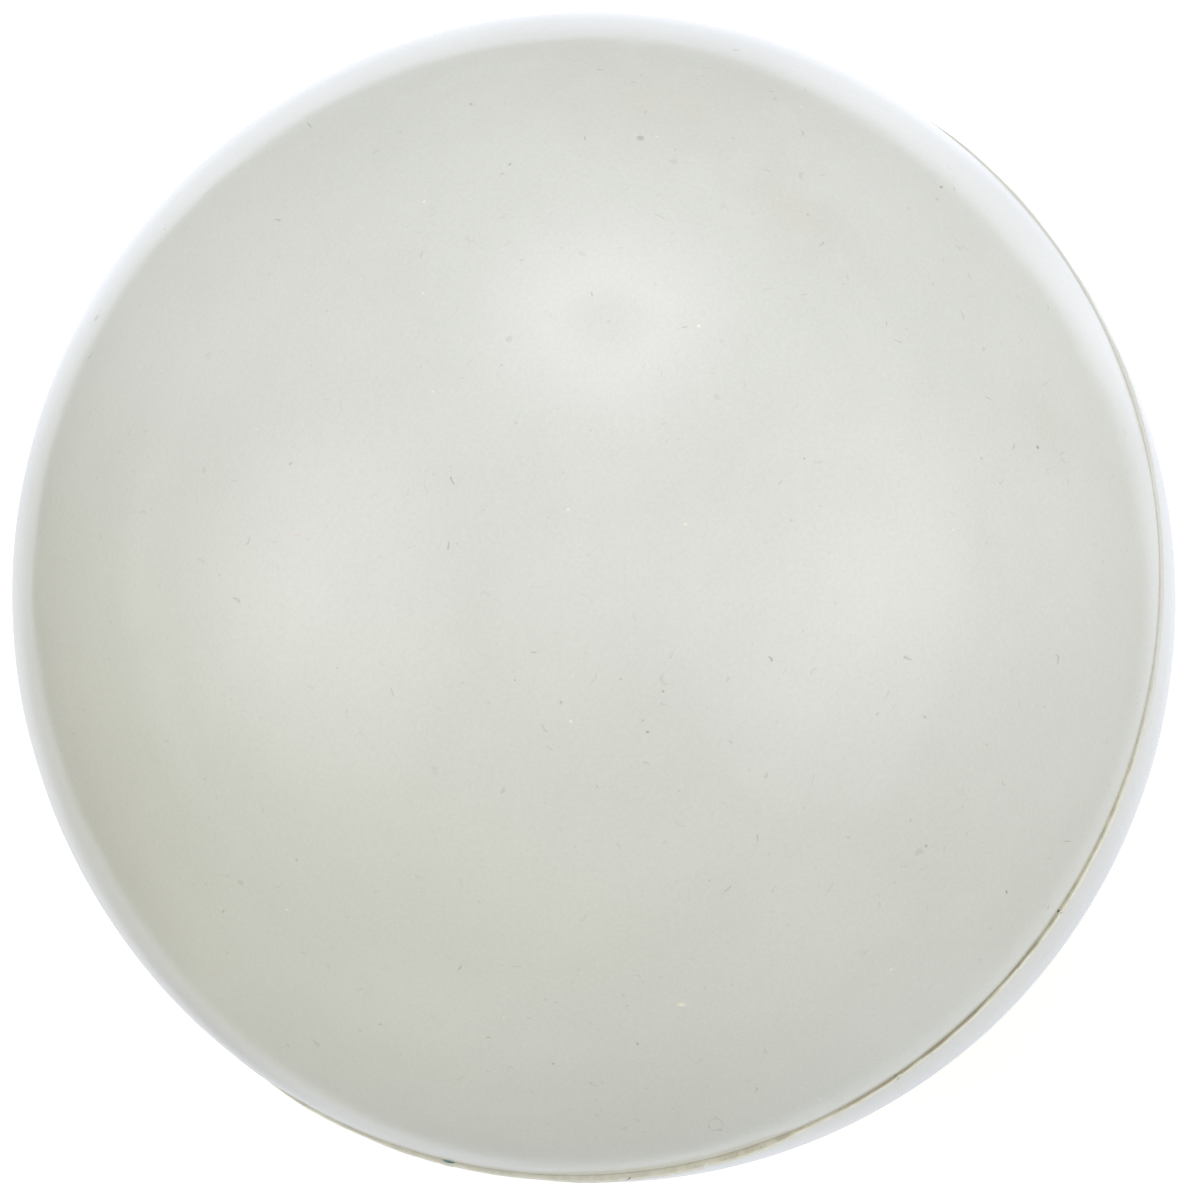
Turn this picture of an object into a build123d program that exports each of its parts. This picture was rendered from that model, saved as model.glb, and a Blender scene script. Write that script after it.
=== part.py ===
from build123d import *
import math
import os

# A solid rubber lacrosse ball, pressed and cured in a mould of two halves.
# Millimetres. The origin is the ball's centre, and +Z is the way the mould opens,
# so the parting plane, where the two half-balls knit face to face, is Z = 0.

# Driving dimensions
ball_girth = 200.0          # round the ball, which is the size that the game's rules set
flash_thickness = 0.45      # the flash along Z: rubber that filled the mould's closing gap
flash_height = 0.20         # how far the trimmed flash stands above the ball's surface
flash_root = 0.80           # how far the flash reaches in below the ball's surface
flash_trim_bevel = 0.08     # the bevel that trimming leaves on the flash's two outer edges
mould_edge_round = 0.15     # the rounded edge of each half where it meets the flash
root_clearance = 0.05       # the gap behind the flash, between its inner edge and the halves

# Sizes that follow from them
ball_radius = ball_girth / (2 * math.pi)
flash_side = flash_thickness / 2                                # the flash's flat sides, above and below Z = 0
flash_inner_radius = ball_radius - flash_root
flash_outer_radius = ball_radius + flash_height
knit_radius = flash_inner_radius - root_clearance               # the knit faces end here, at the step for the flash
edge_radius = math.sqrt(ball_radius**2 - flash_side**2)         # the dome meets the flash's side here
dome_middle = ball_radius * math.sqrt(0.5)                      # a point half way up the dome


def half_ball():
    # The section of the upper half: the knit face, the step that the flash lies in, and the dome.
    section_sides = Polyline(
        (0, ball_radius),
        (0, 0),
        (knit_radius, 0),
        (knit_radius, flash_side),
        (edge_radius, flash_side),
    )
    dome = ThreePointArc((edge_radius, flash_side), (dome_middle, dome_middle), (0, ball_radius))
    section = make_face([*section_sides.edges(), dome])
    dome_corner = section.vertices().sort_by(Axis.X)[-1]
    return revolve(Plane.XZ * fillet(dome_corner, mould_edge_round), Axis.Z)


def flash_ring():
    # A thin flat ring in the step between the halves, with its outer edges bevelled by the trimming.
    ring = Cylinder(flash_outer_radius, flash_thickness) - Cylinder(flash_inner_radius, flash_thickness)
    trimmed_edges = ring.edges().filter_by(GeomType.CIRCLE).sort_by(SortBy.RADIUS)[-2:]
    return chamfer(trimmed_edges, flash_trim_bevel)


upper_half = half_ball()
pieces = {
    "upper_half": upper_half,
    "lower_half": mirror(upper_half, about=Plane.XY),
    "parting_flash": flash_ring(),
}

os.makedirs("parts", exist_ok=True)
for node, piece in pieces.items():
    export_step(piece, f"parts/{node}.step")

print(f"ball diameter {2 * ball_radius:.2f} mm, over the flash {2 * flash_outer_radius:.2f} mm")
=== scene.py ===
import bpy
import math
from mathutils import Matrix, Vector, noise


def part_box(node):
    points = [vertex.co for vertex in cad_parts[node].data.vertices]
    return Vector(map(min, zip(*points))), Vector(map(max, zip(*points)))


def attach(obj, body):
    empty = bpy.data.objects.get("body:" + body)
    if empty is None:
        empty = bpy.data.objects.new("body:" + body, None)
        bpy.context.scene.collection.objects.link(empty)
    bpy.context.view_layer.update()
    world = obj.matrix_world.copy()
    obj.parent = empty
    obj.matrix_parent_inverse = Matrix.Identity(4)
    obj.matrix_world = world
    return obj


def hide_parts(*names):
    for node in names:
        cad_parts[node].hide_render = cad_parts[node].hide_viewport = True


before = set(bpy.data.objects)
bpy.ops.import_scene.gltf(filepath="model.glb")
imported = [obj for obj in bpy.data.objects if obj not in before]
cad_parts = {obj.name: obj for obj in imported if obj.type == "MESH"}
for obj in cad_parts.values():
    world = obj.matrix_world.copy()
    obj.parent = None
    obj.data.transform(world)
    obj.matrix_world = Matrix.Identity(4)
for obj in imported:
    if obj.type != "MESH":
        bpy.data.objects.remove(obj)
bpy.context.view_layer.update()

mm = 0.001

# sizes that the frame gives
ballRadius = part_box("upper_half")[1].z
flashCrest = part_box("parting_flash")[1].x       # radius over the flash
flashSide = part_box("parting_flash")[1].z        # the flash's flat sides, above and below the parting plane
flashRoot = 0.80 * mm                           # how deep the flash reaches into the ball

smoothAngle = math.radians(40)                  # edges sharper than this stay sharp

# how the photograph looks at the ball: the camera stands on the -Y side, high up, and is rolled
viewpoint = {
    "elevation": 72.0,                          # degrees above the parting plane
    "roll": -54.7,                              # puts the nearest stretch of the flash at the lower right
    "distance": 30 * ballRadius,
    "outlinePixels": 583.6,                     # the ball's radius in the photograph's frame
    "framePixels": 1200,                        # the frame's long side
    "centreShift": (2.5, -2.5),                 # pixels, right and up, from the ball's centre to the frame's
}


def turned(right, up, degrees):                 # two axes turned in their plane
    cosine = math.cos(math.radians(degrees))
    sine = math.sin(math.radians(degrees))
    return right * cosine + up * sine, up * cosine - right * sine


def cameraAxes():
    elevation = math.radians(viewpoint["elevation"])
    away = Vector((0, -math.cos(elevation), math.sin(elevation)))        # from the ball to the camera
    level = Vector((1, 0, 0))
    right, up = turned(level, away.cross(level), viewpoint["roll"])
    return right, up, away


imageRight, imageUp, toCamera = cameraAxes()


def onBall(right, up):                          # the point of a unit ball that the picture shows there
    return imageRight * right + imageUp * up + toCamera * math.sqrt(1 - right * right - up * up)


class Wire:                                     # one socket's value, so that sums are plain Python
    def __init__(self, finish, socket):
        self.finish = finish
        self.socket = socket

    def __add__(self, other):
        return self.finish.maths("ADD", self, other)

    def __radd__(self, other):
        return self.finish.maths("ADD", other, self)

    def __sub__(self, other):
        return self.finish.maths("SUBTRACT", self, other)

    def __rsub__(self, other):
        return self.finish.maths("SUBTRACT", other, self)

    def __mul__(self, other):
        return self.finish.maths("MULTIPLY", self, other)

    def __rmul__(self, other):
        return self.finish.maths("MULTIPLY", other, self)


markShape = {                                   # lengths in millimetres
    "dotReach": (0.05, 0.13),                   # the smallest and the largest dot
    "dotEdge": 0.55,                            # share of the reach where the soft edge starts
    "hairReach": (0.14, 0.38),
    "hairEdge": 0.8,
    "hairWave": 1.2,
    "hairLine": (0.010, 0.026),                 # noise levels where a hair's edge starts and ends
    "hairsFrom": 0.45,                          # draws above this are hairs
    "paleFrom": 0.94,                           # draws above this are pale flecks
    "faintest": 0.24,
    "falloff": 11,                              # the higher, the more of them are faint
}
patchShape = {
    "edge": (0.1, 1.15),                        # shares of the half width where the soft edge starts and ends
    "depth": 0.1,                               # how much the distance towards the camera counts
    "bitDepth": 10,                             # millimetres, how deep a single bit reaches
}


class Finish:                                   # the nodes of one material, lamp or world
    def __init__(self, owner):
        owner.use_nodes = True
        self.tree = owner.node_tree
        self.tree.nodes.clear()

    def node(self, kind, settings=None, sockets=None, output=0):
        made = self.tree.nodes.new("ShaderNode" + kind)
        for name, value in (settings or {}).items():
            setattr(made, name, value)
        for name, value in (sockets or {}).items():
            if isinstance(value, Wire):
                self.tree.links.new(value.socket, made.inputs[name])
            else:
                made.inputs[name].default_value = value
        return Wire(self, made.outputs[output]) if len(made.outputs) else made

    def maths(self, operation, *terms):
        return self.node("Math", {"operation": operation}, dict(enumerate(terms)))

    def vector(self, operation, first, second=(0, 0, 0), output=0):
        return self.node("VectorMath", {"operation": operation}, {0: first, 1: second}, output)

    def along(self, offset, axis):              # how far an offset reaches along an axis
        return self.vector("DOT_PRODUCT", offset, tuple(axis), "Value")

    def hypot(self, *sides):
        total = 0
        for side in sides:
            total = side * side + total
        return self.maths("SQRT", total)

    def scale(self, colour, share):
        return self.node("VectorMath", {"operation": "SCALE"}, {0: colour, "Scale": share})

    def between(self, share, low, high):        # low where the share is 0, high where it is 1
        return low + share * (high - low)

    def rise(self, value, low, high):           # 0 below low, 1 above high, smooth between
        limits = {"Value": value, "From Min": low, "From Max": high}
        return self.node("MapRange", {"interpolation_type": "SMOOTHSTEP"}, limits)

    def blend(self, share, first, second):
        return self.node("Mix", {"data_type": "RGBA"}, {0: share, 6: first, 7: second}, 2)

    def placeInMillimetres(self):
        place = self.node("TexCoord", output="Object")
        return self.vector("MULTIPLY", place, (1000, 1000, 1000))

    def heightOf(self, place):                  # above or below the parting plane
        return self.maths("ABSOLUTE", self.node("SeparateXYZ", {}, {0: place}, 2))

    def grain(self, place, size, detail=2, roughness=0.5):      # noise whose lumps are about size across
        sockets = {"Vector": place, "Scale": 1 / size, "Detail": detail, "Roughness": roughness}
        return self.node("TexNoise", {}, sockets, 0)

    def bump(self, height, texture):
        return self.node("Bump", {}, {"Strength": 1, "Distance": height, "Height": texture})

    def marks(self, place, size):               # dots, short hairs and pale flecks at scattered points
        shape = markShape
        settings = {"voronoi_dimensions": "3D", "feature": "F1"}
        nearest = self.node("TexVoronoi", settings, {"Vector": place, "Scale": 1 / size}, "Distance")
        draw = Wire(self, nearest.socket.node.outputs["Color"])
        kind, width, depth = (self.node("SeparateColor", {}, {0: draw}, part) for part in range(3))
        distance = nearest * size
        dotReach = self.between(width, *shape["dotReach"])
        hairReach = self.between(width, *shape["hairReach"])
        level = self.maths("ABSOLUTE", self.grain(place, shape["hairWave"], 0) - 0.5)
        dot = 1 - self.rise(distance, dotReach * shape["dotEdge"], dotReach)
        hair = 1 - self.rise(distance, hairReach * shape["hairEdge"], hairReach)
        hair = hair * (1 - self.rise(level, *shape["hairLine"]))
        isHair = self.maths("GREATER_THAN", kind, shape["hairsFrom"])
        isPale = self.maths("GREATER_THAN", kind, shape["paleFrom"])
        strength = self.between(self.maths("POWER", depth, shape["falloff"]), shape["faintest"], 1)
        dark = (dot + isHair * (hair - dot)) * (1 - isPale) * strength
        return dark, dot * isPale

    def fromSpot(self, place, spot):            # millimetres along and across a spot, and some of the depth
        away = self.vector("SUBTRACT", place, tuple(onBall(*spot["at"]) * ballRadius / mm))
        along, across = turned(imageRight, imageUp, spot["lean"])
        depth = self.along(away, toCamera) * patchShape["depth"]
        return self.along(away, along), self.along(away, across), depth

    def patch(self, place, ragged, spot):       # 1 at the middle of a soft mark, 0 at its ragged edge
        length, width, depth = self.fromSpot(place, spot)
        reach = self.hypot(length * (1 / spot["halfLength"]), width * (1 / spot["halfWidth"]), depth)
        return 1 - self.rise(reach + ragged, *patchShape["edge"])

    def bit(self, place, at, halfLength, halfWidth, lean):      # one small mark at its place in the picture
        along, across = turned(imageRight, imageUp, lean)
        turn = Matrix((along, across, toCamera)).transposed().to_euler()
        size = (halfLength, halfWidth, patchShape["bitDepth"])
        middle = tuple(onBall(*at) * ballRadius / mm)
        sockets = {"Vector": place, "Location": middle, "Rotation": tuple(turn), "Scale": size}
        centred = self.node("Mapping", {"vector_type": "TEXTURE"}, sockets)
        return 1 - self.rise(self.vector("LENGTH", centred, output="Value"), *patchShape["edge"])


def fromScreen(red, green, blue):               # a colour as a screen shows it, 0 to 255
    def linear(level):
        share = level / 255
        return share / 12.92 if share <= 0.04045 else ((share + 0.055) / 1.055) ** 2.4
    return (linear(red), linear(green), linear(blue), 1)


# materials

rubberLook = {
    "pale": fromScreen(224, 226, 222),
    "dull": fromScreen(220, 222, 218),
    "cloudSize": 13,                            # all sizes in millimetres
    "cloudLevels": (0.3, 0.7),                  # noise levels where the colour is all pale and all dull
    "mottleSize": 2.2,
    "grainSize": 0.2,
    "grain": (0.94, 1.06),                      # how much the fine grain darkens and lightens
    "grainMottle": 0.03,
    # painted shade: the rubber is darker and yellower towards these sides of the picture
    "shadedSides": (                              # where in the picture, cosines, colour and share
        ((-0.640, -0.729), (0.20, 1.0), fromScreen(219, 216, 199), 0.26),
        ((-0.940, 0.240), (0.20, 1.0), fromScreen(208, 210, 206), 0.22),
        ((0.000, 0.970), (0.20, 1.0), fromScreen(211, 213, 210), 0.20),
        ((-0.955, -0.200), (0.75, 1.0), fromScreen(222, 219, 190), 0.11),
    ),
    "worn": fromScreen(211, 208, 195),
    "wornEdge": 1.8,                            # how ragged the smudges' edges are
    "wornMottle": 2.5,
    "smudges": (
        {"at": (0.332, 0.654), "halfLength": 5.2, "halfWidth": 2.6, "lean": -38, "share": 0.24},
        {"at": (0.762, 0.300), "halfLength": 3.4, "halfWidth": 1.9, "lean": -70, "share": 0.18},
        {"at": (0.120, 0.830), "halfLength": 11.0, "halfWidth": 4.5, "lean": -8, "share": 0.20},
    ),
    "grime": fromScreen(205, 199, 178),
    "grimeReach": (0.24, 0.62),                 # heights above the parting plane where it is full and gone
    "grimeShare": 0.4,
    "grimeMottle": 0.9,
    "mark": fromScreen(128, 126, 114),
    "markSize": 1.0,
    "markShare": 0.28,
    "crowdLevels": (0.40, 0.62),                # cloud levels between which the marks get stronger
    "crowdShare": 0.34,
    "wornShare": 2.4,                           # stronger marks in the smudges
    "fleck": fromScreen(243, 240, 226),
    "bitTones": {
        "lint": fromScreen(128, 126, 114),
        "straw": fromScreen(204, 195, 154),
        "cream": fromScreen(250, 244, 222),
        "brown": fromScreen(142, 116, 88),
        "pink": fromScreen(226, 196, 182),
    },
    "bits": (                                   # where, half length, half width, lean, tone and share
        ((0.146, -0.681), 0.30, 0.14, -5, "cream", 0.90),
        ((0.760, 0.360), 0.55, 0.08, 38, "straw", 0.32),
        ((0.695, -0.496), 0.15, 0.06, -68, "brown", 0.75),
        ((-0.482, 0.800), 0.28, 0.06, -49, "lint", 0.45),
        ((-0.100, -0.091), 0.23, 0.06, -2, "lint", 0.38),
        ((0.587, 0.694), 0.11, 0.09, -10, "lint", 0.70),
        ((0.610, 0.692), 0.17, 0.06, -69, "lint", 0.38),
        ((-0.153, 0.710), 0.14, 0.06, -5, "brown", 0.35),
        ((-0.141, 0.726), 0.13, 0.08, 30, "lint", 0.50),
        ((0.089, -0.223), 0.11, 0.08, -10, "lint", 0.75),
        ((0.081, -0.204), 0.10, 0.08, 0, "lint", 0.40),
        ((0.227, -0.240), 0.16, 0.06, -43, "lint", 0.36),
        ((-0.224, -0.619), 0.25, 0.06, 51, "lint", 0.42),
        ((-0.506, 0.223), 0.15, 0.07, 45, "lint", 0.40),
        ((0.073, -0.748), 0.11, 0.09, -62, "lint", 0.52),
        ((-0.624, -0.528), 0.17, 0.09, 52, "lint", 0.32),
        ((-0.497, -0.439), 0.13, 0.10, -48, "lint", 0.30),
        ((-0.494, 0.104), 0.28, 0.05, 8, "pink", 0.60),
        ((0.799, -0.412), 0.28, 0.05, -2, "lint", 0.38),
    ),
    # a moulding mark whose dark ring line is painted shade along its relief
    "moulding": {
        "at": (0.206, -0.891),
        "lean": 0,
        "radius": 0.38,
        "clear": (0.4, 1.0),                    # no lint nearer than this
        "line": 0.055,
        "lineEdge": 0.3,                        # share of the line where its soft edge starts
        "wobble": 0.3,
        "wobbleSize": 0.4,
        "wearSize": 0.5,
        "wearLevels": (0.40, 0.56),
        "faintest": 0.35,
        "share": 0.25,
    },
    "roughness": 0.16,
    "roughnessSpread": 0.05,
    "wornRoughness": 0.08,
    "markRoughness": 0.3,
    "ior": 1.5,
    "peelSize": 1.8,
    "peel": 0.000012,                           # metres, the height of the bump
}


def mouldedRubber():
    finish = Finish(bpy.data.materials.new("mouldedRubber"))
    look = rubberLook
    place = finish.placeInMillimetres()
    heading = finish.vector("NORMALIZE", place)
    # cloudy cream with a fine grain, with painted shade that makes it yellower and duller towards some sides
    # of the picture, and worn smudges
    cloud = finish.grain(place, look["cloudSize"], 3)
    rough = finish.grain(place, look["mottleSize"], 3) - 0.5
    colour = finish.blend(finish.rise(cloud, *look["cloudLevels"]), look["pale"], look["dull"])
    # painted shade towards some sides of the picture
    for at, reach, tone, share in look["shadedSides"]:
        facing = finish.along(heading, onBall(*at))
        colour = finish.blend(finish.rise(facing, *reach) * share, colour, tone)
    rubbed = 0
    for spot in look["smudges"]:
        smudge = finish.patch(place, rough * look["wornEdge"], spot) * (1 + rough * look["wornMottle"])
        rubbed = smudge * spot["share"] + rubbed
    colour = finish.blend(rubbed, colour, look["worn"])
    powder = finish.between(finish.grain(place, look["grainSize"], 2), *look["grain"])
    colour = finish.scale(colour, powder + rough * look["grainMottle"])
    # a faint stain along the flash
    stain = 1 - finish.rise(finish.heightOf(place), *look["grimeReach"])
    stain = stain * (look["grimeShare"] + rough * look["grimeMottle"])
    colour = finish.blend(stain, colour, look["grime"])
    # specks and lint in loose clusters, and one moulding mark, its ring painted shade, with no lint beside it
    dark, pale = finish.marks(place, look["markSize"])
    spot = look["moulding"]
    around = finish.hypot(*finish.fromSpot(place, spot)) - spot["radius"]
    dark = dark * finish.rise(around, *spot["clear"])
    around = around + (finish.grain(place, spot["wobbleSize"], 1) - 0.5) * spot["wobble"]
    # the ring's dark line is painted shade along the mark's relief
    ring = 1 - finish.rise(finish.maths("ABSOLUTE", around), spot["line"] * spot["lineEdge"], spot["line"])
    wear = finish.rise(finish.grain(place, spot["wearSize"], 2), *spot["wearLevels"])
    ring = ring * finish.between(wear, spot["faintest"], 1) * spot["share"]
    crowd = finish.rise(cloud, *look["crowdLevels"])
    dark = dark * (look["markShare"] + look["crowdShare"] * crowd + look["wornShare"] * rubbed)
    marked = finish.maths("MAXIMUM", dark, ring)
    colour = finish.blend(marked, colour, look["mark"])
    colour = finish.blend(pale, colour, look["fleck"])
    for *spot, tone, share in look["bits"]:
        colour = finish.blend(finish.bit(place, *spot) * share, colour, look["bitTones"][tone])
    # satin gloss, duller where it is rubbed or marked, on a faintly uneven skin
    sheen = look["roughness"] + rough * look["roughnessSpread"]
    sheen = sheen + rubbed * look["wornRoughness"] + marked * look["markRoughness"]
    normal = finish.bump(look["peel"], finish.grain(place, look["peelSize"], 1))
    sockets = {"Base Color": colour, "Roughness": sheen, "IOR": look["ior"], "Normal": normal}
    surface = finish.node("BsdfPrincipled", {}, sockets)
    finish.node("OutputMaterial", {}, {"Surface": surface})
    return bpy.data.materials["mouldedRubber"]


flashLook = {
    # the crest is paler than the rubber, partly as a painted highlight along the edge
    "crest": fromScreen(245, 244, 232),
    "crestDull": fromScreen(235, 232, 216),
    "crestPatches": 0.7,                        # all sizes in millimetres
    "crestLevels": (0.45, 0.70),
    "crestEdge": (0.195, 0.222),                # heights above the parting plane where the sides take over
    "side": fromScreen(226, 222, 206),
    "sideDull": fromScreen(204, 199, 183),
    "streakSize": 0.9,
    "streakRoughness": 0.65,
    "streakLevels": (0.35, 0.65),
    # the flash's sides turn darker and browner on one stretch
    "umber": fromScreen(184, 176, 157),
    "umberSide": (-0.254, -0.967, 0),            # the sides are darkest and brownest towards here
    "umberReach": (0.953, 0.999),
    "umberShare": 0.8,
    "umberMottle": 0.8,
    "umberSize": 1.6,
    # the flash is paler towards these sides
    "pallor": fromScreen(229, 230, 225),
    "pallorSides": (                             # which way, from and to which cosine, and share
        ((0.840, -0.545, 0), (0.70, 0.90), 1.0),
        ((-0.927, -0.375, 0), (0.85, 0.96), 0.4),
    ),
    "fleck": fromScreen(112, 84, 66),
    "fleckSize": 1.6,
    "specks": (                                 # degrees round the flash, half length, half width, colour
        (-158.0, 0.42, 0.11, fromScreen(58, 120, 124)),
        (-133.6, 0.13, 0.09, fromScreen(126, 112, 92)),
        (-111.4, 0.15, 0.08, fromScreen(104, 92, 76)),
        (-88.8, 0.09, 0.055, fromScreen(88, 78, 66)),
    ),
    "speckOut": 0.05,                           # their middles stand this far out of the ball
    "speckEdge": (0.75, 1.05),
    "speckRagged": 0.5,
    "speckShare": 0.85,
    "roughness": 0.6,
    "roughnessSpread": 0.2,
    "tornSize": 0.35,
    "torn": 0.00003,                            # metres, the height of the bump
}


def trimmedFlash():
    finish = Finish(bpy.data.materials.new("trimmedFlash"))
    look = flashLook
    place = finish.placeInMillimetres()
    heading = finish.vector("NORMALIZE", finish.vector("MULTIPLY", place, (1, 1, 0)))
    # trimmed sides are matt and dull, the crest is fresh and pale, and part of its paleness is a painted
    # highlight along the edge
    streak = finish.grain(place, look["streakSize"], 4, look["streakRoughness"])
    streak = finish.rise(streak, *look["streakLevels"])
    side = finish.blend(streak, look["side"], look["sideDull"])
    # paler towards some sides of the flash
    pallored = 0
    for towards, reach, share in look["pallorSides"]:
        pallored = finish.rise(finish.along(heading, towards), *reach) * share + pallored
    side = finish.blend(pallored, side, look["pallor"])
    # darker and browner sides on one stretch of the flash
    umbery = finish.rise(finish.along(heading, look["umberSide"]), *look["umberReach"])
    mottle = finish.grain(place, look["umberSize"], 2) - 0.5
    umbery = umbery * (look["umberShare"] + look["umberMottle"] * mottle)
    side = finish.blend(umbery, side, look["umber"])
    dulled = finish.rise(finish.grain(place, look["crestPatches"], 3), *look["crestLevels"])
    crest = finish.blend(dulled, look["crest"], look["crestDull"])
    crest = finish.blend(pallored, crest, look["pallor"])
    colour = finish.blend(finish.rise(finish.heightOf(place), *look["crestEdge"]), crest, side)
    flecks = finish.marks(place, look["fleckSize"])[0]
    colour = finish.blend(flecks, colour, look["fleck"])
    # bits of paint and dirt on the upper edge
    for azimuth, halfLength, halfWidth, tone in look["specks"]:
        turn = math.radians(azimuth)
        outward = Vector((math.cos(turn), math.sin(turn), 0))
        forward = Vector((-math.sin(turn), math.cos(turn), 0))
        upward = Vector((0, 0, 1))
        spot = outward * (ballRadius / mm + look["speckOut"]) + upward * (flashSide / mm)
        away = finish.vector("SUBTRACT", place, tuple(spot))
        length = finish.along(away, forward / halfLength)
        width = finish.along(away, (outward + upward) / halfWidth)
        reach = finish.hypot(length, width) + (streak - 0.5) * look["speckRagged"]
        speck = (1 - finish.rise(reach, *look["speckEdge"])) * look["speckShare"]
        colour = finish.blend(speck, colour, tone)
    sheen = look["roughness"] + (streak - 0.5) * look["roughnessSpread"]
    normal = finish.bump(look["torn"], finish.grain(place, look["tornSize"], 3))
    surface = finish.node("BsdfPrincipled", {}, {"Base Color": colour, "Roughness": sheen, "Normal": normal})
    finish.node("OutputMaterial", {}, {"Surface": surface})
    return bpy.data.materials["trimmedFlash"]


# pieces

def startFresh():
    if bpy.context.mode != "OBJECT":
        bpy.ops.object.mode_set(mode="OBJECT")
    bpy.ops.object.select_all(action="DESELECT")


def select(piece):
    startFresh()
    piece.select_set(True)
    bpy.context.view_layer.objects.active = piece


def facesDown(face):
    return face.normal.z < -0.99


def pickFaces(piece, wanted):                   # in edit mode, selects the faces that wanted() says yes to
    bpy.ops.mesh.select_mode(type="FACE")
    bpy.ops.mesh.select_all(action="DESELECT")
    bpy.ops.object.mode_set(mode="OBJECT")
    for face in piece.data.polygons:
        face.select = wanted(face)
    bpy.ops.object.mode_set(mode="EDIT")


halfBall = {
    "cuts": 111,                                # along each edge of the cube that is blown up to a ball
    "edgeRound": 0.05 * mm,
    "edgeSegments": 3,
}


def makeUpperHalf():
    startFresh()
    sizes = halfBall
    bpy.ops.mesh.primitive_cube_add(size=2 * ballRadius)
    half = bpy.context.object
    half.name = half.data.name = "upperHalf"
    bpy.ops.object.mode_set(mode="EDIT")
    bpy.ops.mesh.select_all(action="SELECT")
    bpy.ops.mesh.subdivide(number_cuts=sizes["cuts"])
    bpy.ops.transform.tosphere(value=1, center_override=(0, 0, 0))
    bpy.ops.object.mode_set(mode="OBJECT")
    swell = ballRadius / half.data.vertices[0].co.length
    bpy.ops.object.mode_set(mode="EDIT")
    bpy.ops.transform.resize(value=(swell, swell, swell), center_override=(0, 0, 0))
    bpy.ops.mesh.bisect(plane_co=(0, 0, flashSide), plane_no=(0, 0, 1), use_fill=True, clear_inner=True)
    pickFaces(half, facesDown)
    bpy.ops.mesh.region_to_loop()
    bpy.ops.mesh.bevel(offset=sizes["edgeRound"], segments=sizes["edgeSegments"], affect="EDGES")
    # the step that the flash lies in, down to the parting plane
    pickFaces(half, facesDown)
    bpy.ops.mesh.inset(thickness=flashRoot)
    bpy.ops.mesh.extrude_region_move(TRANSFORM_OT_translate={"value": (0, 0, -flashSide)})
    bpy.ops.transform.resize(value=(1, 1, 0), center_override=(0, 0, 0))
    bpy.ops.mesh.poke()
    bpy.ops.object.mode_set(mode="OBJECT")
    bpy.ops.object.shade_smooth_by_angle(angle=smoothAngle)
    return half


def makeLowerHalf(upperHalf):
    select(upperHalf)
    bpy.ops.object.duplicate()
    half = bpy.context.object
    half.name = half.data.name = "lowerHalf"
    half.scale.z = -1
    bpy.ops.object.transform_apply(location=False, rotation=False, scale=True)
    bpy.ops.object.mode_set(mode="EDIT")
    bpy.ops.mesh.select_all(action="SELECT")
    bpy.ops.mesh.normals_make_consistent(inside=False)
    bpy.ops.object.mode_set(mode="OBJECT")
    return half


flashRing = {
    "steps": 1800,
    "crestRound": 0.08 * mm,
    "stretches": (                              # degrees where each starts and ends, the lip's height there
        (-188, -177, 0.05 * mm),
        (-177, -165, 0.16 * mm),
        (-165, -147, 0.22 * mm),
        (-147, -124, 0.34 * mm),
        (-124, -62, 0.17 * mm),
        (-62, -42, 0.10 * mm),
        (-42, -31, 0.17 * mm),
        (-31, -14, 0.10 * mm),
        (-14, -2, 0.12 * mm),
        (-2, 45, 0.04 * mm),
        (45, 110, 0.20 * mm),
        (110, 172, 0.14 * mm),
    ),
    "blend": 4,                                 # degrees over which one height runs into the next
    "leastLip": 0.03 * mm,
    "ragged": 0.030 * mm,
    "raggedWaves": ((2.6, 1.0), (0.7, 0.6)),    # millimetres and share
    "thinning": 0.16,                           # most that the lip is thinner in places
    "thinningSize": 1.9 * mm,
    "nicks": (                                  # degrees round the flash, half width, depth
        (-88.6, 0.08 * mm, 0.05 * mm),
        (-95.6, 0.08 * mm, 0.04 * mm),
        (-111.0, 0.10 * mm, 0.06 * mm),
        (-132.0, 0.14 * mm, 0.11 * mm),
        (-140.5, 0.12 * mm, 0.05 * mm),
        (60.0, 0.30 * mm, 0.10 * mm),
        (93.0, 0.25 * mm, 0.12 * mm),
        (141.0, 0.18 * mm, 0.06 * mm),
    ),
}


def degreesApart(first, second):                # the short way round, with its sign
    return (first - second + 180) % 360 - 180


def lipHeight(azimuth):                         # how far the trimmed flash stands out of the ball there
    sizes = flashRing
    lip = 0
    total = 0
    for start, end, height in sizes["stretches"]:
        off = abs(degreesApart(azimuth, (start + end) / 2)) - (end - start) / 2
        share = min(1, max(0, 0.5 - off / sizes["blend"]))
        lip += height * share
        total += share
    lip /= total
    turn = math.radians(azimuth)
    around = Vector((math.cos(turn), math.sin(turn), 0)) * ballRadius / mm
    lip += sizes["ragged"] * sum(share * noise.noise(around / size) for size, share in sizes["raggedWaves"])
    for where, halfWidth, depth in sizes["nicks"]:
        arc = math.radians(degreesApart(azimuth, where)) * ballRadius
        lip -= depth * math.exp(-((arc / halfWidth) ** 2))
    return max(sizes["leastLip"], lip)


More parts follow.
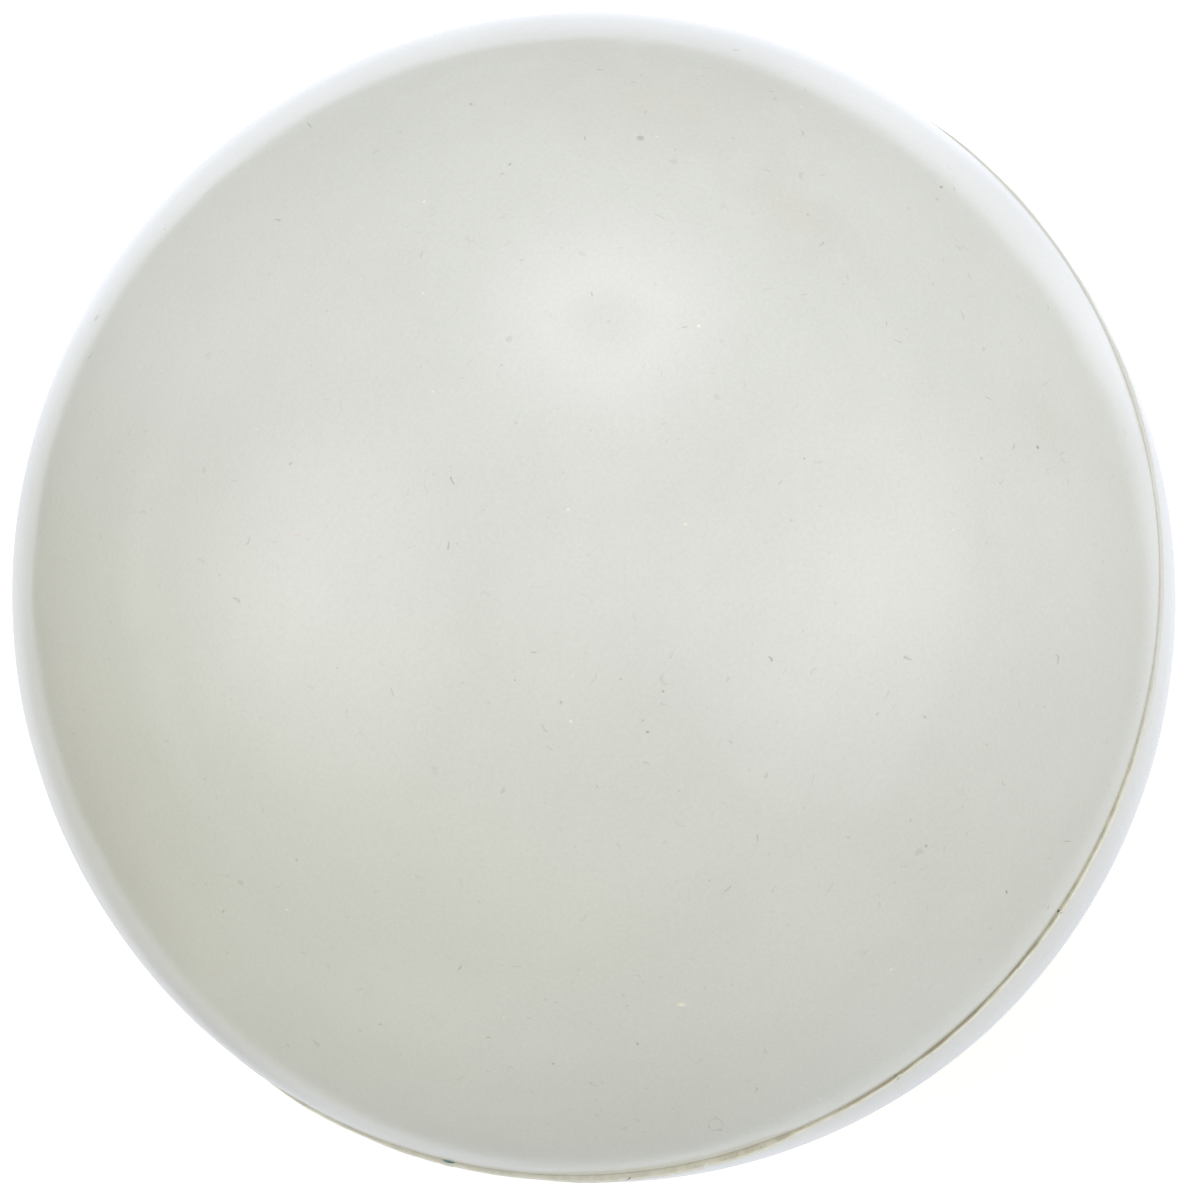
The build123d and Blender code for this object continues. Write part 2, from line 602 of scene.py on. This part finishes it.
def makeFlash():
    startFresh()
    sizes = flashRing
    inner = ballRadius - flashRoot
    edge = sizes["crestRound"]
    corner = edge * (1 - math.sqrt(0.5))
    upper = [
        (ballRadius - edge, flashSide),
        (flashCrest - edge, flashSide),
        (flashCrest - corner, flashSide - corner),
        (flashCrest, flashSide - edge),
    ]
    lower = [(radius, -level) for radius, level in reversed(upper)]
    bpy.ops.mesh.primitive_circle_add(vertices=sizes["steps"], radius=inner, location=(0, 0, -flashSide))
    flash = bpy.context.object
    flash.name = flash.data.name = "partingFlash"
    bpy.ops.object.transform_apply(location=True)
    bpy.ops.object.mode_set(mode="EDIT")
    bpy.ops.mesh.select_mode(type="EDGE")
    bpy.ops.mesh.select_all(action="SELECT")
    last = (inner, -flashSide)
    for radius, level in [(inner, flashSide)] + upper + lower:
        bpy.ops.mesh.extrude_edges_move(TRANSFORM_OT_translate={"value": (0, 0, level - last[1])})
        wider = radius / last[0]
        bpy.ops.transform.resize(value=(wider, wider, 1), center_override=(0, 0, 0))
        last = (radius, level)
    bpy.ops.mesh.select_all(action="DESELECT")
    bpy.ops.mesh.select_non_manifold()
    bpy.ops.mesh.bridge_edge_loops()
    bpy.ops.mesh.select_all(action="SELECT")
    bpy.ops.mesh.normals_make_consistent(inside=False)
    bpy.ops.object.mode_set(mode="OBJECT")
    nominal = flashCrest - ballRadius
    for point in flash.data.vertices:           # the trimming left a lip of uneven height
        reach = math.hypot(point.co.x, point.co.y)
        if reach > ballRadius:
            azimuth = math.degrees(math.atan2(point.co.y, point.co.x))
            grow = (reach + lipHeight(azimuth) - nominal) / reach
            point.co.x *= grow
            point.co.y *= grow
            point.co.z *= 1 - sizes["thinning"] * abs(noise.noise(point.co / sizes["thinningSize"]))
    bpy.ops.object.shade_smooth_by_angle(angle=smoothAngle)
    return flash


surfaceShape = {
    "ripples": ((15 * mm, 0.07 * mm), (5 * mm, 0.03 * mm)),    # how wide the ripples are and how high
    "calm": (0.5 * mm, 4 * mm),                 # heights over the parting plane where they start and are full
    "skin": 0.3 * mm,                           # points deeper in the ball than this stay
    "ovalAzimuth": 57,                          # degrees; the ball is a little longer this way
    "oval": 0.0043,
}


def ripple(half):
    select(half)
    group = half.vertex_groups.new(name="dome")
    low, high = surfaceShape["calm"]
    for point in half.data.vertices:
        share = min(1, max(0, (abs(point.co.z) - low) / (high - low)))
        if point.co.length < ballRadius - surfaceShape["skin"]:
            share = 0
        group.add([point.index], share * share * (3 - 2 * share), "REPLACE")
    for width, height in surfaceShape["ripples"]:
        pattern = bpy.data.textures.new("ripples", "CLOUDS")
        pattern.noise_scale = width
        pattern.noise_depth = 1
        wave = half.modifiers.new("ripples", "DISPLACE")
        wave.texture = pattern
        wave.texture_coords = "LOCAL"
        wave.strength = height
        wave.mid_level = 0.5
        wave.vertex_group = group.name
        bpy.ops.object.modifier_apply(modifier=wave.name)
    half.vertex_groups.clear()


def pressOval(piece):                           # a moulded ball is never quite round
    select(piece)
    turn = math.radians(surfaceShape["ovalAzimuth"])
    oval = surfaceShape["oval"]
    bpy.ops.object.mode_set(mode="EDIT")
    bpy.ops.mesh.select_all(action="SELECT")
    bpy.ops.transform.rotate(value=turn, orient_axis="Z", center_override=(0, 0, 0))
    bpy.ops.transform.resize(value=(1 + oval, 1 - oval, 1), center_override=(0, 0, 0))
    bpy.ops.transform.rotate(value=-turn, orient_axis="Z", center_override=(0, 0, 0))
    bpy.ops.object.mode_set(mode="OBJECT")


upperHalf = makeUpperHalf()
lowerHalf = makeLowerHalf(upperHalf)
partingFlash = makeFlash()
rubber = mouldedRubber()
for half, node in ((upperHalf, "upper_half"), (lowerHalf, "lower_half")):
    ripple(half)
    half.data.materials.append(rubber)
    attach(half, "root")
    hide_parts(node)
partingFlash.data.materials.append(trimmedFlash())
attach(partingFlash, "root")
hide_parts("parting_flash")
for piece in (upperHalf, lowerHalf, partingFlash):
    pressOval(piece)
    print(piece.name, "modelled,", len(piece.data.polygons), "faces")

# floor: white to the camera, with the ball's shadow, and a white sheet round the ball in its reflections

floorLook = {
    "size": 8.0,                                # metres
    "albedo": 0.8,
    "cameraGlow": 0.5,                          # added for the camera, so that the open floor is white
    "sheetCentre": (0.16, 0.735),               # the white sheet that the rim mirrors, in ball radii
    "sheetEdge": (1.79, 2.05),                  # where its edge starts and ends, in ball radii
    "sheetTurn": -8,                            # degrees from the picture's upright
    "sheetGlow": 0.98,
    "sheetTint": (0.93, 0.96, 1.06, 1),
    "sheetPatches": (                           # which way from the ball, glow added near and far
        ((0.819, -0.574, 0), 0.10, 0.16),
        ((1.0, 0.0, 0), 0.20, 0.42),
        ((0.829, 0.559, 0), 0.24, 0.22),
        ((0.176, 0.984, 0), 0.28, 0.40),
        ((-0.277, 0.961, 0), 0.00, -0.15),
        ((-0.822, 0.541, 0), -0.06, -0.42),
        ((-0.998, -0.055, 0), 0.00, -0.14),
        ((-0.176, -0.984, 0), -0.12, -0.12),
    ),
    "patchReach": (0.85, 0.998),                # cosines at a patch's edge and middle
    "farStarts": (1.30, 1.60),                  # ball radii over which near turns to far
    "farEnds": (1.65, 1.95),
    "farGlow": (0.06, 0.42),                    # the room past the sheet, on its dark side and elsewhere
    "farTint": (0.99, 1.0, 0.89, 1),
    "darkSide": (-0.62, 0.78, 0),
    "darkReach": (0.80, 0.985),
    "lowSide": (-0.81, -0.59, 0),               # a pale wall far off on this side
    "lowReach": (0.60, 0.98),
    "lowStarts": (2.5, 6.0),
    "lowGlow": 0.35,
    "lowTint": (0.92, 0.97, 1.10, 1),
}


def mirroredSheet(finish):                      # what the ball's gloss sees of the floor
    look = floorLook
    inRadii = (1 / ballRadius, 1 / ballRadius, 0)
    place = finish.vector("MULTIPLY", finish.node("TexCoord", output="Object"), inRadii)
    heading = finish.vector("NORMALIZE", place)
    fromCentre = finish.vector("SUBTRACT", place, (*look["sheetCentre"], 0))
    across, along = turned(imageRight, imageUp, look["sheetTurn"])
    wide = finish.maths("ABSOLUTE", finish.along(fromCentre, across))
    deep = finish.maths("ABSOLUTE", finish.along(fromCentre, along))
    reach = finish.maths("POWER", wide * wide * wide + deep * deep * deep, 1 / 3)      # a rounded square
    outwards = finish.rise(reach, *look["farStarts"]) * (1 - finish.rise(reach, *look["farEnds"]))
    sheet = look["sheetGlow"]
    for side, near, far in look["sheetPatches"]:
        share = finish.rise(finish.along(heading, side), *look["patchReach"])
        sheet = share * finish.between(outwards, near, far) + sheet
    dark, usual = look["farGlow"]
    darkness = finish.rise(finish.along(heading, look["darkSide"]), *look["darkReach"])
    wall = finish.rise(finish.along(heading, look["lowSide"]), *look["lowReach"])
    room = finish.between(darkness, usual, dark)
    room = room + wall * finish.rise(reach, *look["lowStarts"]) * look["lowGlow"]
    past = finish.rise(reach, *look["sheetEdge"])
    tint = finish.blend(past, look["sheetTint"], finish.blend(wall, look["farTint"], look["lowTint"]))
    return finish.scale(tint, sheet + past * (room - sheet))


def makeFloor():
    startFresh()
    bpy.ops.mesh.primitive_plane_add(size=floorLook["size"])
    floor = bpy.context.object
    floor.name = floor.data.name = "floor"
    floor.location.z = -ballRadius
    bpy.ops.object.transform_apply(location=True)
    finish = Finish(bpy.data.materials.new("paleFloor"))
    shade = (floorLook["albedo"],) * 3 + (1,)
    matt = finish.node("BsdfDiffuse", {}, {"Color": shade})
    cameraRay = finish.node("LightPath", output="Is Camera Ray")
    glossyRay = finish.node("LightPath", output="Is Glossy Ray")
    glow = finish.node("Emission", {}, {"Color": cameraRay * floorLook["cameraGlow"]})
    lit = finish.node("AddShader", {}, {0: matt, 1: glow})
    mirrored = finish.node("Emission", {}, {"Color": mirroredSheet(finish)})
    surface = finish.node("MixShader", {}, {0: glossyRay, 1: lit, 2: mirrored})
    finish.node("OutputMaterial", {}, {"Surface": surface})
    floor.data.materials.append(bpy.data.materials["paleFloor"])
    print("floor laid at", round(-ballRadius / mm, 2), "mm")


makeFloor()

# lights: soft boxes at the top, the left and the right of the picture, and a pale room

softBoxes = {
    "topBox": {                                 # a round dish with a dim disc in its middle
        "towards": (0.035, 0.817, 0.575),       # right, up and towards the camera, in the picture
        "across": 1.06,                         # metres
        "core": (0.09, 0.27),                   # the disc's edge, in shares of the half width
        "coreGlow": 0.25,
        "glow": 4.45,
        "colour": (1, 0.97, 1.10),
    },
    "leftBox": {                                # an eight-sided box, brightest in its middle
        "towards": (-0.828, -0.025, 0.560),
        "across": 1.04,
        "skirtGlow": 0,
        "skirtEdge": (0.85, 1),
        "glow": 1.97,
        "colour": (1, 0.97, 1.03),
    },
    "rightBox": {
        "towards": (0.784, -0.070, 0.621),
        "across": 1.16,
        "skirtGlow": 0.30,
        "skirtEdge": (0.85, 1),
        "glow": 1.62,
        "colour": (1, 0.97, 1.03),
    },
}
boxDistance = 0.8
roomLook = {"colour": (0.561, 0.568, 0.504, 1)}


def makeSoftBox(name, box):
    lamp = bpy.data.lights.new(name, "AREA")
    lamp.shape = "SQUARE"
    lamp.size = box["across"]
    lamp.energy = box["glow"] * math.pi * box["across"] ** 2
    lamp.color = box["colour"]
    finish = Finish(lamp)
    place = finish.vector("SUBTRACT", finish.node("NewGeometry", output="Parametric"), (0.5, 0.5, 0))
    fromCentre = finish.vector("MULTIPLY", place, (2, 2, 0))
    if "core" in box:
        reach = finish.vector("LENGTH", fromCentre, output="Value")
        fade = finish.maths("MAXIMUM", 1 - reach, 0)
        level = fade * fade * finish.between(finish.rise(reach, *box["core"]), box["coreGlow"], 1)
    else:
        folded = finish.vector("ABSOLUTE", fromCentre)
        wide = finish.node("SeparateXYZ", {}, {0: folded}, 0)
        tall = finish.node("SeparateXYZ", {}, {0: folded}, 1)
        reach = finish.maths("MAXIMUM", finish.maths("MAXIMUM", wide, tall), (wide + tall) * math.sqrt(0.5))
        skirt = (1 - finish.rise(reach, *box["skirtEdge"])) * box["skirtGlow"]
        level = finish.maths("MAXIMUM", 1 - reach, skirt)
    light = finish.node("Emission", {}, {"Color": level})
    finish.node("OutputLight", {}, {"Surface": light})
    hung = bpy.data.objects.new(name, lamp)
    bpy.context.scene.collection.objects.link(hung)
    right, up, away = box["towards"]
    back = (imageRight * right + imageUp * up + toCamera * away).normalized()
    side = imageUp.cross(back).normalized()
    turn = Matrix((side, back.cross(side), back)).transposed()
    hung.matrix_world = Matrix.Translation(back * boxDistance) @ turn.to_4x4()
    hung.visible_camera = False


def makeRoom():
    world = bpy.data.worlds.new("paleRoom")
    bpy.context.scene.world = world
    finish = Finish(world)
    cameraRay = finish.node("LightPath", output="Is Camera Ray")
    shade = finish.blend(cameraRay, roomLook["colour"], (1, 1, 1, 1))
    light = finish.node("Background", {}, {"Color": shade})
    finish.node("OutputWorld", {}, {"Surface": light})


for name, box in softBoxes.items():
    makeSoftBox(name, box)
makeRoom()
print("lights hung:", ", ".join(softBoxes))


# camera

def makeCamera():
    lens = bpy.data.cameras.new("camera")
    camera = bpy.data.objects.new("camera", lens)
    bpy.context.scene.collection.objects.link(camera)
    axes = Matrix((imageRight, imageUp, toCamera)).transposed()
    camera.matrix_world = Matrix.Translation(toCamera * viewpoint["distance"]) @ axes.to_4x4()
    share = viewpoint["distance"] / ballRadius
    outline = 1 / math.sqrt(share**2 - 1)       # tangent of the ball's half angle
    halfFrame = outline * viewpoint["framePixels"] / 2 / viewpoint["outlinePixels"]
    lens.lens = lens.sensor_width / 2 / halfFrame
    lens.shift_x = viewpoint["centreShift"][0] / viewpoint["framePixels"]
    lens.shift_y = viewpoint["centreShift"][1] / viewpoint["framePixels"]
    lens.clip_start = 0.01
    bpy.context.scene.camera = camera
    print("camera lens", round(lens.lens, 1), "mm")


makeCamera()
bpy.context.scene.view_settings.view_transform = "Standard"
